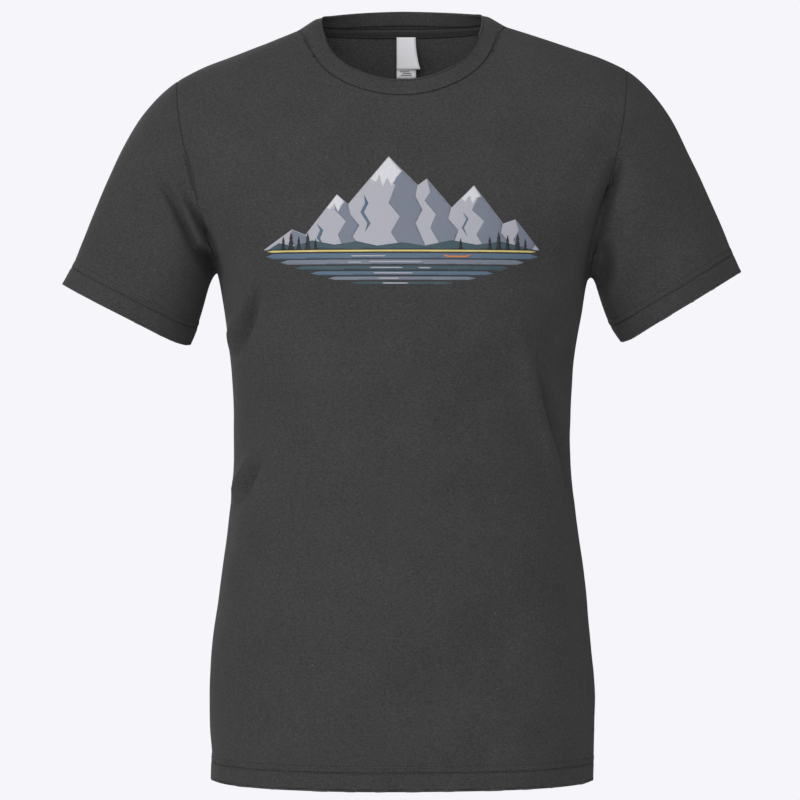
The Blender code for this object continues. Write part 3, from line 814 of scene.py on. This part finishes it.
# Neckband. A strip of fine rib is folded lengthwise and sewn round the neckline with its fold upwards, so
# it is two layers thick and a little shorter than the seam, which makes it lie flat.
BAND_DEPTH = 0.0125
BAND_RADIUS = 0.0008
RIB_COLOUR = (0.048, 0.048, 0.048)
rib = cloth_material("rib_dark_grey", RIB_COLOUR, RIB_PITCH, COURSE)
neckband_cloth = sewn_panel(cut_from_form(BAND), "neckband_rib", rib, BAND_DEPTH, BAND_RADIUS)
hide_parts("neckband")

# Seam allowances. Inside the shirt, the edges of the panels are joined by an overlock stitch, which wraps a
# narrow strip of both cloths in thread. Cotton tape covers the seam at the back of the neck and along the
# shoulders, held by a row of stitches at each of its edges.
STRIP_WIDTH = 0.006
STRIP_THICKNESS = 0.0005
STRIP_DEPTH = 0.001
SEAM_EXTRA_DEPTH, SEAM_EXTRA_WIDTH = 0.0009, 0.0015
STATION_STEP = 0.0035
TAPE_WIDTH = 0.007
TAPE_ABOVE_SEAM = 0.001
THREAD_COLOUR = (0.05, 0.05, 0.051)
OVERLOCK_STEP, OVERLOCK_SLANT = 0.0024, 0.25
OVERLOCK_SIZE = (STRIP_WIDTH * 0.98, 0.0005, 0.0004)
RUNNING_STEP = 0.003
SHOULDER_STITCH_SHARE = 0.36
TAPE_STITCH_INSET, TAPE_STITCH_SINK = 0.0011, 0.00015
STITCH_SIZE = (0.0027, 0.00055, 0.0003)

sewn_form = bmesh.new()
sewn_form.from_mesh(form)
cloth_surface = BVHTree.FromBMesh(sewn_form)


def seam_lines(is_seam):
    """Ordered lines of (place, outward normal) along the edges of the form that is_seam picks."""
    lines = chains([e for e in sewn_form.edges if is_seam(e)])
    return [[(v.co.copy(), v.normal.copy()) for v in line] for line in lines]


def parts_two(*tags):
    """Picks the edges between a panel with the first tag and one with any of the others."""
    return lambda edge: (
        len(edge.link_faces) == 2
        and tags[0] in (around := {f.material_index for f in edge.link_faces})
        and len(around) == 2
        and around - {tags[0]} <= set(tags[1:])
    )


def spaced(line, step, start=0.0, end=0.0):
    """Equal steps along a line, as (place, direction along, normal). start and end are left bare."""
    run = [0.0]
    for (a, _), (b, _) in zip(line, line[1:]):
        run.append(run[-1] + (b - a).length)
    count = max(2, round((run[-1] - start - end) / step) + 1)
    stations = []
    segment = 0
    for index in range(count):
        reached = start + (run[-1] - start - end) * index / (count - 1)
        while segment < len(line) - 2 and run[segment + 1] < reached:
            segment += 1
        (a, normal_a), (b, normal_b) = line[segment], line[segment + 1]
        share = (reached - run[segment]) / max(1e-9, run[segment + 1] - run[segment])
        normal = normal_a.lerp(normal_b, share).normalized()
        stations.append((a.lerp(b, share), (b - a).normalized(), normal))
    return stations


def on_cloth(place, height, surface=cloth_surface):
    """The place on the cloth nearest to a point, raised along the cloth's normal, with that normal."""
    found, normal, _, _ = surface.find_nearest(place)
    return found + normal * height, normal


def stitching(name, stitches, material):
    """Joins many short stitches into a piece. Each is (place, along, outward), perhaps with a size."""
    one = bmesh.new()
    bmesh.ops.create_uvsphere(one, u_segments=6, v_segments=4, radius=0.5)
    shape = np.array([v.co for v in one.verts])
    corners = [[v.index for v in face.verts] for face in one.faces]
    one.free()
    points, faces = [], []
    for number, (place, along, outward, *size) in enumerate(stitches):
        along = (along - outward * along.dot(outward)).normalized()
        turn = np.array((along, outward.cross(along), outward))
        points.append(shape * (size[0] if size else STITCH_SIZE) @ turn + np.array(place))
        faces += [[number * len(shape) + corner for corner in face] for face in corners]
    data = bpy.data.meshes.new(name)
    data.from_pydata(np.concatenate(points).tolist(), [], faces)
    data.shade_smooth()
    data.materials.append(material)
    piece = placed(name, data)
    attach(piece, "root")
    return piece


def seam_strip(name, stations, shares, surface=cloth_surface):
    """Lays a strip along a seam, inside the shirt. shares are the distances of its lines from the seam."""
    mesh = bmesh.new()
    layer = mesh.loops.layers.uv.new("UVMap")
    made = bmesh.ops.create_grid(mesh, x_segments=len(shares) - 1, y_segments=len(stations) - 1, size=1.0)
    for vertex in made["verts"]:
        share = shares[round((vertex.co.x + 1) / 2 * (len(shares) - 1))]
        row = round((vertex.co.y + 1) / 2 * (len(stations) - 1))
        place, along, normal = stations[row]
        sunk = STRIP_DEPTH + SEAM_EXTRA_DEPTH * math.exp(-((share / SEAM_EXTRA_WIDTH) ** 2))
        vertex.co = on_cloth(place + normal.cross(along) * share, -sunk, surface)[0]
        for loop in vertex.link_loops:
            loop[layer].uv = (share, row * STATION_STEP)
    if (stations[0][0] - stations[-1][0]).length < 1e-4:
        bmesh.ops.remove_doubles(mesh, verts=mesh.verts, dist=2e-4)
    mesh.normal_update()
    middle = mesh.faces[:][len(mesh.faces) // 2]
    if middle.normal.dot(surface.find_nearest(middle.calc_center_median())[1]) < 0:
        bmesh.ops.reverse_faces(mesh, faces=mesh.faces)
    return cloth_piece(mesh, name, tape_cloth, STRIP_THICKNESS)


def thread_material(name, colour):
    """Spun polyester thread: fine twist, a little shinier than the cloth."""
    material, tree, shader = plain_material(name, colour, 0.6)
    place = add_node(tree, "ShaderNodeTexCoord").outputs["Object"]
    shades = placed_group(tree, yarn, {"Place": place, "Fleck Size": 0.0006, "Speck Spacing": 0.02})
    varied = maths(tree, "MULTIPLY_ADD", shades["Flecks"], 0.6, 0.7)
    feed_shader(tree, shader, colour, varied, [(0.5, 0.0001, shades["Flecks"])])
    return material


tape_cloth = cloth_material("tape_dark_grey", (0.041, 0.041, 0.041), 0.0006, 0.0006)
thread = thread_material("thread_dark_grey", THREAD_COLOUR)
overlock, running = [], []
across_strip = [STRIP_WIDTH * share for share in (-0.5, -0.25, 0.0, 0.25, 0.5)]
past_seam = STRIP_WIDTH * 0.5 + 0.001
side_lines = [line for line in seam_lines(parts_two(FRONT, BACK)) if len(line) > 3]
armhole_lines = seam_lines(parts_two(SLEEVE, FRONT, BACK))
underarm_lines = seam_lines(lambda e: e.seam and all(f.material_index == SLEEVE for f in e.link_faces))
trim = {"body": [], "left": [], "right": []}


def strip_along(kind, line, start, end, part=None):
    """Lays a strip along a whole seam. It goes with the body, or else with the sleeve on its side."""
    side = "left" if sum(p.x for p, _ in line) > 0 else "right"
    stations = spaced(line, STATION_STEP, start, end)
    strip = seam_strip(f"{kind}_strip_{side}", stations, across_strip)
    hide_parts(f"{kind}_{side}")
    trim[part or side].append(strip)


shoulders = [line for line in side_lines if min(p.z for p, _ in line) > HEM_Z / 2]
for line in side_lines:
    if line[0][0].z < line[-1][0].z:
        line = line[::-1]
    if min(p.z for p, _ in line) > HEM_Z / 2:
        strip_along("shoulder_tape", line, past_seam, past_seam, "body")
    else:
        strip_along("side_seam", line, past_seam, HEM_RADIUS * 2, "body")
for line in armhole_lines:
    strip_along("armhole_seam", line, 0.0, 0.0)
for line in underarm_lines:
    if abs(line[0][0].x) > abs(line[-1][0].x):
        line = line[::-1]
    strip_along("underarm_seam", line, past_seam, 0.0)
overlocked = [(line, past_seam) for line in side_lines if line not in shoulders]
overlocked += [(line, 0.0) for line in armhole_lines] + [(line, past_seam) for line in underarm_lines]
for line, bare in overlocked:
    for index, (place, along, normal) in enumerate(spaced(line, OVERLOCK_STEP, bare, bare)):
        across = normal.cross(along)
        slant = (across + along * (OVERLOCK_SLANT if index % 2 else -OVERLOCK_SLANT)).normalized()
        spot, facing = on_cloth(place, -STRIP_DEPTH - STRIP_THICKNESS - SEAM_EXTRA_DEPTH)
        overlock.append((spot, slant, facing, OVERLOCK_SIZE))
for line in shoulders:
    for share in (-SHOULDER_STITCH_SHARE, SHOULDER_STITCH_SHARE):
        for place, along, normal in spaced(line, RUNNING_STEP, past_seam, past_seam):
            spot = place + normal.cross(along) * STRIP_WIDTH * share
            spot, facing = on_cloth(spot, -STRIP_DEPTH - STRIP_THICKNESS)
            running.append((spot, along, facing))

back_only = bmesh.new()
back_only.from_mesh(form)
bmesh.ops.delete(back_only, geom=[f for f in back_only.faces if f.material_index != BACK], context="FACES")
back_surface = BVHTree.FromBMesh(back_only)
back_only.free()
neck_line = seam_lines(parts_two(BAND, BACK))[0]
if neck_line[0][0].x > neck_line[-1][0].x:
    neck_line = neck_line[::-1]
downwards = -1 if neck_line[0][1].cross(neck_line[1][0] - neck_line[0][0]).z > 0 else 1
across_tape = [downwards * (TAPE_WIDTH * share - TAPE_ABOVE_SEAM) for share in (0.0, 0.25, 0.5, 0.75, 1.0)]
neck_stations = spaced(neck_line, STATION_STEP)
neck_tape = seam_strip("neck_tape_cloth", neck_stations, across_tape, back_surface)
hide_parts("neck_tape")
inset = downwards * TAPE_STITCH_INSET
for share in (across_tape[0] + inset, across_tape[-1] - inset):
    for place, along, normal in spaced(neck_line, RUNNING_STEP):
        spot = place + normal.cross(along) * share
        spot, facing = on_cloth(spot, -STRIP_DEPTH - STRIP_THICKNESS - TAPE_STITCH_SINK, back_surface)
        running.append((spot, along, facing))
overlock_thread = stitching("overlock_thread", overlock, thread)
tape_stitches = stitching("tape_stitches", running, thread)

# Hem stitches. A twin-needle machine holds each turned-up hem with two rows of stitches outside and a
# zigzag of looper thread inside.
# The outer hem thread is lighter than the seam thread: a painted highlight on stitches that catch the
# light.
HEM_THREAD_HIGHLIGHT_COLOUR = (0.062, 0.062, 0.063)
hem_thread_highlighted = thread_material("hem_thread_painted_highlight", HEM_THREAD_HIGHLIGHT_COLOUR)
STITCH_RISE = 0.00005
LOOPER_SIZE = (0.00045, 0.0004)
LOOPER_LENGTH = 2.1
LOOPER_DEPTH = 2 * HEM_RADIUS + 0.0003
for line in seam_lines(lambda edge: edge.is_boundary):
    middle_x, _, middle_z = sum((p for p, _ in line), Vector()) / len(line)
    if middle_z > HEMS_BELOW_Z:
        continue
    part = "body" if abs(middle_x) < ARMPIT.x else "left" if middle_x > 0 else "right"
    longer = 0.0 if part == "body" else SLEEVE_HEM_LONGER
    sewn, looped = [], []
    for place, along, normal in spaced(line, RUNNING_STEP):
        up = normal.cross(along)
        if up.z < 0:
            up.negate()
        rows = [on_cloth(place + up * (row + longer), STITCH_RISE) for row in STITCH_ROWS]
        sewn += [(spot, along, facing) for spot, facing in rows]
        low, high = (spot - facing * LOOPER_DEPTH for spot, facing in rows)
        for start, end in ((low, high), (high, low + along * RUNNING_STEP)):
            half = (end - start) * 0.5
            looped.append((start + half, half, rows[0][1], (half.length * LOOPER_LENGTH, *LOOPER_SIZE)))
    stitching(f"hem_stitches_{part}", sewn, hem_thread_highlighted)
    stitching(f"hem_looper_{part}", looped, thread)

# Neck labels. Two leaves of white woven satin are caught under the tape's lower edge. The shorter front one
# is blank and its free corner curls aside; the longer one behind shows a few plain bars.
SATIN_COLOUR = (0.8, 0.8, 0.83)
LABEL_X = 0.004
LABEL_WIDTH = 0.018
LABEL_THICKNESS = 0.00022
SIZE_LABEL_LENGTH = 0.039
MAKER_LABEL_LENGTH = 0.031
LABEL_STEP = 0.0009
LABEL_SWAY, LABEL_BOW = 0.0006, 0.0008
LABEL_OFF_TAPE, LABEL_UNDER_TAPE = 0.0004, 0.0006
REAR_FORWARD, REAR_CURL, FRONT_CURL = 0.0002, 0.0004, 0.0042
BAR_LIFT, BAR_THICKNESS = 0.00006, 0.00004
BARS = [(-0.1, 0.834, 0.5, 0.022), (0.02, 0.877, 0.44, 0.022), (0.0, 0.92, 0.56, 0.022)]


def satin_material():
    """White satin ribbon: fine crosswise threads with a soft gloss."""
    material, tree, shader = plain_material("label_white_satin", SATIN_COLOUR, 0.45)
    place = add_node(tree, "ShaderNodeTexCoord").outputs["Object"]
    ribs = add_node(tree, "ShaderNodeTexWave", {"Vector": place, "Scale": 640.0}, bands_direction="Z")
    shades = placed_group(tree, yarn, {"Place": place, "Fleck Size": 0.0008, "Speck Spacing": 0.02})
    varied = maths(tree, "MULTIPLY_ADD", shades["Clouds"], 0.16, 0.9)
    feed_shader(tree, shader, SATIN_COLOUR, varied, [(0.25, 0.00008, ribs.outputs["Fac"])])
    shader.inputs["Sheen Weight"].default_value = 0.3
    return material


tape_edge = [place + normal.cross(along) * across_tape[-1] for place, along, normal in neck_stations]
tape_edge = [on_cloth(place, 0.0, back_surface)[0] for place in tape_edge]
label_hem = min(tape_edge, key=lambda co: abs(co.x - LABEL_X))
label_y = label_hem.y - STRIP_DEPTH - STRIP_THICKNESS - LABEL_OFF_TAPE
label_top = Vector((LABEL_X, label_y, label_hem.z + LABEL_UNDER_TAPE))


def leaf(name, length, forward, curl, patch=(0.0, 0.5, 1.0, 1.0), lifted=0.0, material=None):
    """A leaf of the label, or a patch of it: (centre across, centre down, width, height) as shares."""
    centre, middle, width, height = patch
    mesh = bmesh.new()
    mesh.loops.layers.uv.new("UVMap")
    made = bmesh.ops.create_grid(mesh, x_segments=8, y_segments=14, size=0.5)
    for vertex in made["verts"]:
        across = centre + vertex.co.x * width
        down = middle - vertex.co.y * height
        aside = curl * (across + 0.5) * down**2
        sway = LABEL_SWAY * math.sin(3.0 * down + forward * 400) * down
        bow = -LABEL_BOW * (4 * across * across) * down
        vertex.co.x = label_top.x + across * LABEL_WIDTH + aside
        vertex.co.y = label_top.y - forward - lifted - 0.9 * aside - sway + bow
        vertex.co.z = label_top.z - down * length + 0.1 * aside
    mesh.normal_update()
    if mesh.faces[:][0].normal.y > 0:
        bmesh.ops.reverse_faces(mesh, faces=mesh.faces)
    return cloth_piece(mesh, name, material, BAR_THICKNESS if lifted else LABEL_THICKNESS)


def ink_material(name, colour):
    """Plastisol ink: matte, with the knit faintly pressed through it, painted shade in the knit's hollows,
    and fine pale wear.
    """
    material, tree, shader = plain_material("ink_" + name, colour, 0.6)
    coordinates = add_node(tree, "ShaderNodeTexCoord").outputs
    inputs = {"Place": coordinates["Object"], "Fleck Size": 0.0012, "Speck Spacing": 0.006}
    shades = placed_group(tree, yarn, inputs)
    loops = placed_group(tree, knit, {"UV": coordinates["UV"], "Wale": WALE, "Course": COURSE})
    flecked = maths(tree, "MULTIPLY_ADD", shades["Flecks"], 0.3, 0.83)
    # Painted shade: the ink is darkened over the hollows between the knit's loops.
    pressed_and_gap_shaded = maths(tree, "MULTIPLY_ADD", loops["Gap Shade"], -0.1, flecked)
    rough = maths(tree, "MULTIPLY_ADD", shades["Clouds"], 0.2, 0.5)
    feed_shader(tree, shader, colour, pressed_and_gap_shaded, [(0.4, 0.0001, loops["Height"])], rough)
    return material


satin = satin_material()
bar_ink = ink_material("bar_slate", (0.045, 0.05, 0.07))
size_label = leaf("size_label_leaf", SIZE_LABEL_LENGTH, REAR_FORWARD, REAR_CURL, material=satin)
maker_label = leaf("front_label_leaf", MAKER_LABEL_LENGTH, LABEL_STEP, FRONT_CURL, material=satin)
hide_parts("size_label")
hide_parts("maker_label")
for number, bar in enumerate(BARS, 1):
    name = f"size_label_bar_{number}"
    leaf(name, SIZE_LABEL_LENGTH, REAR_FORWARD, REAR_CURL, bar, BAR_LIFT, bar_ink)

# Chest print. A screen print of a mountain over a lake: thin films of ink, one for each colour, pressed
# into the knit one over another. Every film is a skin of the chest, cut to outlines that are (x, z) in
# millimetres.
PRINT_BASE_Z = -0.215
FILM = 0.0001
SKIN_MARGIN = 0.005
PRISM_START_Y, PRISM_LENGTH = -0.2, 0.19
INK_COLOURS = {
    "light_grey": (0.4, 0.405, 0.45),
    "snow": (0.64, 0.64, 0.68),
    "grey_blue": (0.165, 0.19, 0.24),
    "steel_blue": (0.085, 0.14, 0.205),
    "slate_teal": (0.038, 0.075, 0.092),
    "near_black": (0.012, 0.014, 0.018),
    "pale_yellow": (0.7, 0.58, 0.2),
    "orange": (0.62, 0.19, 0.05),
}
RIDGE = [(-124, 3), (-98, 21), (-86, 16), (-58, 52), (-48, 43), (-12, 86), (14, 60), (22, 66), (44, 40),
    (64, 60), (90, 26), (101, 30), (123, 3)]
SHADED_FACES = [
    [(-98, 20.5), (-86, 15.5), (-80, 9), (-74, 3), (-94, 3), (-99, 12)],
    [(-58, 51.5), (-48, 42.5), (-46, 34), (-38, 24), (-44, 14), (-34, 3), (-52, 3), (-57, 16), (-50, 28),
     (-60, 38)],
    [(-12, 85.5), (13.5, 60), (12, 50), (18, 38), (12, 26), (22, 3), (0, 3), (-10, 18), (-2, 32),
     (-12, 44), (-6, 60), (-16, 70)],
    [(22, 65.5), (43.5, 40), (41, 30), (50, 20), (44, 3), (36, 3), (25, 22), (30, 34), (20, 46),
     (25, 54)],
    [(64, 59.5), (89.5, 26), (88, 18), (95, 10), (92, 3), (74, 3), (66, 16), (73, 28), (62, 38),
     (67, 48)],
    [(101, 29.5), (119, 7.5), (116, 3), (103, 3), (99, 12), (104, 20)],
]
SNOW_CAPS = [
    [(-58, 51.5), (-67, 39.5), (-63, 38), (-60, 43), (-57, 36), (-53, 43), (-51, 45)],
    [(-12, 85.5), (-28, 66), (-23, 62), (-20, 68), (-17, 58), (-13, 66), (-9, 59), (-5, 67), (0, 72.5)],
    [(64, 59.5), (53, 48), (57, 45), (60, 50), (63, 43), (67, 49), (70.5, 50)],
]
GULLIES = [
    [(-34, 52), (-30, 44), (-34, 36), (-28, 26), (-33, 18), (-31, 26), (-37, 36), (-33, 44)],
    [(-76, 26), (-73, 20), (-76, 13), (-70, 6), (-73, 13), (-70, 20)],
    [(54, 36), (57, 30), (53, 22), (58, 14), (55, 22), (59, 30)],
]
FOREST = [(-120, 3), (-110, 9), (-96, 6), (-80, 11), (-60, 7), (-40, 10), (-22, 6), (0, 9), (20, 6),
    (44, 11), (66, 7), (88, 10), (106, 6), (119, 3)]
PINE_WIDTH = 0.42
PINE_SHAPE = [(0.5, 0.0), (0.2, 0.28), (0.36, 0.28), (0.14, 0.58), (0.26, 0.58), (0.0, 1.0)]
PINES = [(-106, 12), (-99, 16), (-92, 12), (-84, 15), (-77, 10), (52, 10), (78, 12), (86, 16), (94, 13),
    (103, 15), (110, 10)]
SHORE_Z = 3
SHORE_LINE = [(-121, 1.6), (-116, 2.4), (115, 2.4), (120, 1.6), (115, 0.8), (-116, 0.8)]
LAKE_BANDS = [
    (-0.5, -5.2, 122, "steel_blue"),
    (-6.2, -10.4, 109, "grey_blue"),
    (-11.6, -15.4, 96, "slate_teal"),
    (-16.6, -20, 82, "steel_blue"),
    (-21.4, -24.4, 66, "grey_blue"),
    (-26, -28.4, 46, "slate_teal"),
]
GLINTS = [(-30, -3, 16), (-6, -8.2, 24), (-42, -8.6, 7), (-14, -13.4, 15), (20, -13.6, 6),
    (-8, -18.2, 18), (-12, -22.9, 10), (-6, -27.2, 12)]
GLINT_HEIGHT, GLINT_POINT = 1.1, 2
BAND_POINT = 7
CANOE = [(36, -1.6), (40, -4.2), (58, -4.2), (62, -1.6), (56, -2.7), (42, -2.7)]


def bar_shape(x, z, half_width, height, taper):
    """A flat bar with pointed ends."""
    return [
        (x - half_width, z),
        (x - half_width + taper, z + height / 2),
        (x + half_width - taper, z + height / 2),
        (x + half_width, z),
        (x + half_width - taper, z - height / 2),
        (x - half_width + taper, z - height / 2),
    ]


def pine(x, height):
    """The outline of a pine that stands on the shore."""
    width = height * PINE_WIDTH
    half = [(share * width, SHORE_Z + rise * height) for share, rise in PINE_SHAPE]
    return [(x + dx, z) for dx, z in half] + [(x - dx, z) for dx, z in half[-2::-1]]


def lake_bands(colour):
    """The outlines of the lake's bands in one colour."""
    bands = [band for band in LAKE_BANDS if band[3] == colour]
    return [bar_shape(0, (top + bottom) / 2, w, top - bottom, BAND_POINT) for top, bottom, w, _ in bands]


def ink_film(name, layer, shapes):
    """A film of one ink: a skin of the chest, thicker in the upper layers, cut by prisms of its shapes."""
    shapes = [[(x / PER_METRE, z / PER_METRE) for x, z in shape] for shape in shapes]
    corners = zip(*(corner for shape in shapes for corner in shape))
    (left, right), (low, high) = ((min(c) - SKIN_MARGIN, max(c) + SKIN_MARGIN) for c in corners)
    skin = cut_from_form(FRONT, lambda c: left < c.x < right and low < c.z - PRINT_BASE_Z < high)
    for vertex in skin.verts:
        vertex.co += vertex.normal * FILM * layer
    for vertex in new_points(bmesh.ops.extrude_face_region(skin, geom=skin.faces[:], use_keep_orig=True)):
        vertex.co -= vertex.normal * FILM * (layer + 1)
    bmesh.ops.recalc_face_normals(skin, faces=skin.faces)
    film = object_from(skin, name)
    prisms = bmesh.new()
    for shape in shapes:
        corners = [prisms.verts.new((x, PRISM_START_Y, PRINT_BASE_Z + z)) for x, z in shape]
        made = bmesh.ops.extrude_face_region(prisms, geom=[prisms.faces.new(corners)])
        bmesh.ops.translate(prisms, verts=new_points(made), vec=(0.0, PRISM_LENGTH, 0.0))
    bmesh.ops.recalc_face_normals(prisms, faces=prisms.faces)
    cutter = object_from(prisms, name + "_cutter")
    cut = film.modifiers.new("shapes", "BOOLEAN")
    cut.operation = "INTERSECT"
    cut.object = cutter
    result = finished_mesh(film)
    bpy.data.objects.remove(cutter)
    return result


FILMS = [
    ("light_grey", 1, [RIDGE]),
    ("grey_blue", 2, SHADED_FACES),
    ("snow", 3, SNOW_CAPS),
    ("steel_blue", 2, GULLIES),
    ("slate_teal", 3, [FOREST]),
    ("near_black", 4, [pine(x, height) for x, height in PINES]),
    ("pale_yellow", 1, [SHORE_LINE]),
    *((ink, 1, lake_bands(ink)) for ink in ("steel_blue", "grey_blue", "slate_teal")),
    ("light_grey", 2, [bar_shape(x, z, w, GLINT_HEIGHT, GLINT_POINT) for x, z, w in GLINTS]),
    ("orange", 3, [CANOE]),
]
ink_order = list(INK_COLOURS)
chest_print = bmesh.new()
for number, (ink, layer, shapes) in enumerate(FILMS):
    film = ink_film(f"film_{number}", layer, shapes)
    known = len(chest_print.faces)
    chest_print.from_mesh(film)
    bpy.data.meshes.remove(film)
    for face in chest_print.faces[:][known:]:
        face.material_index = ink_order.index(ink)
        face.smooth = True
printed = object_from(chest_print, "chest_print_inks")
for ink, colour in INK_COLOURS.items():
    printed.data.materials.append(ink_material(ink, colour))
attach(printed, "root")
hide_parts("chest_print")
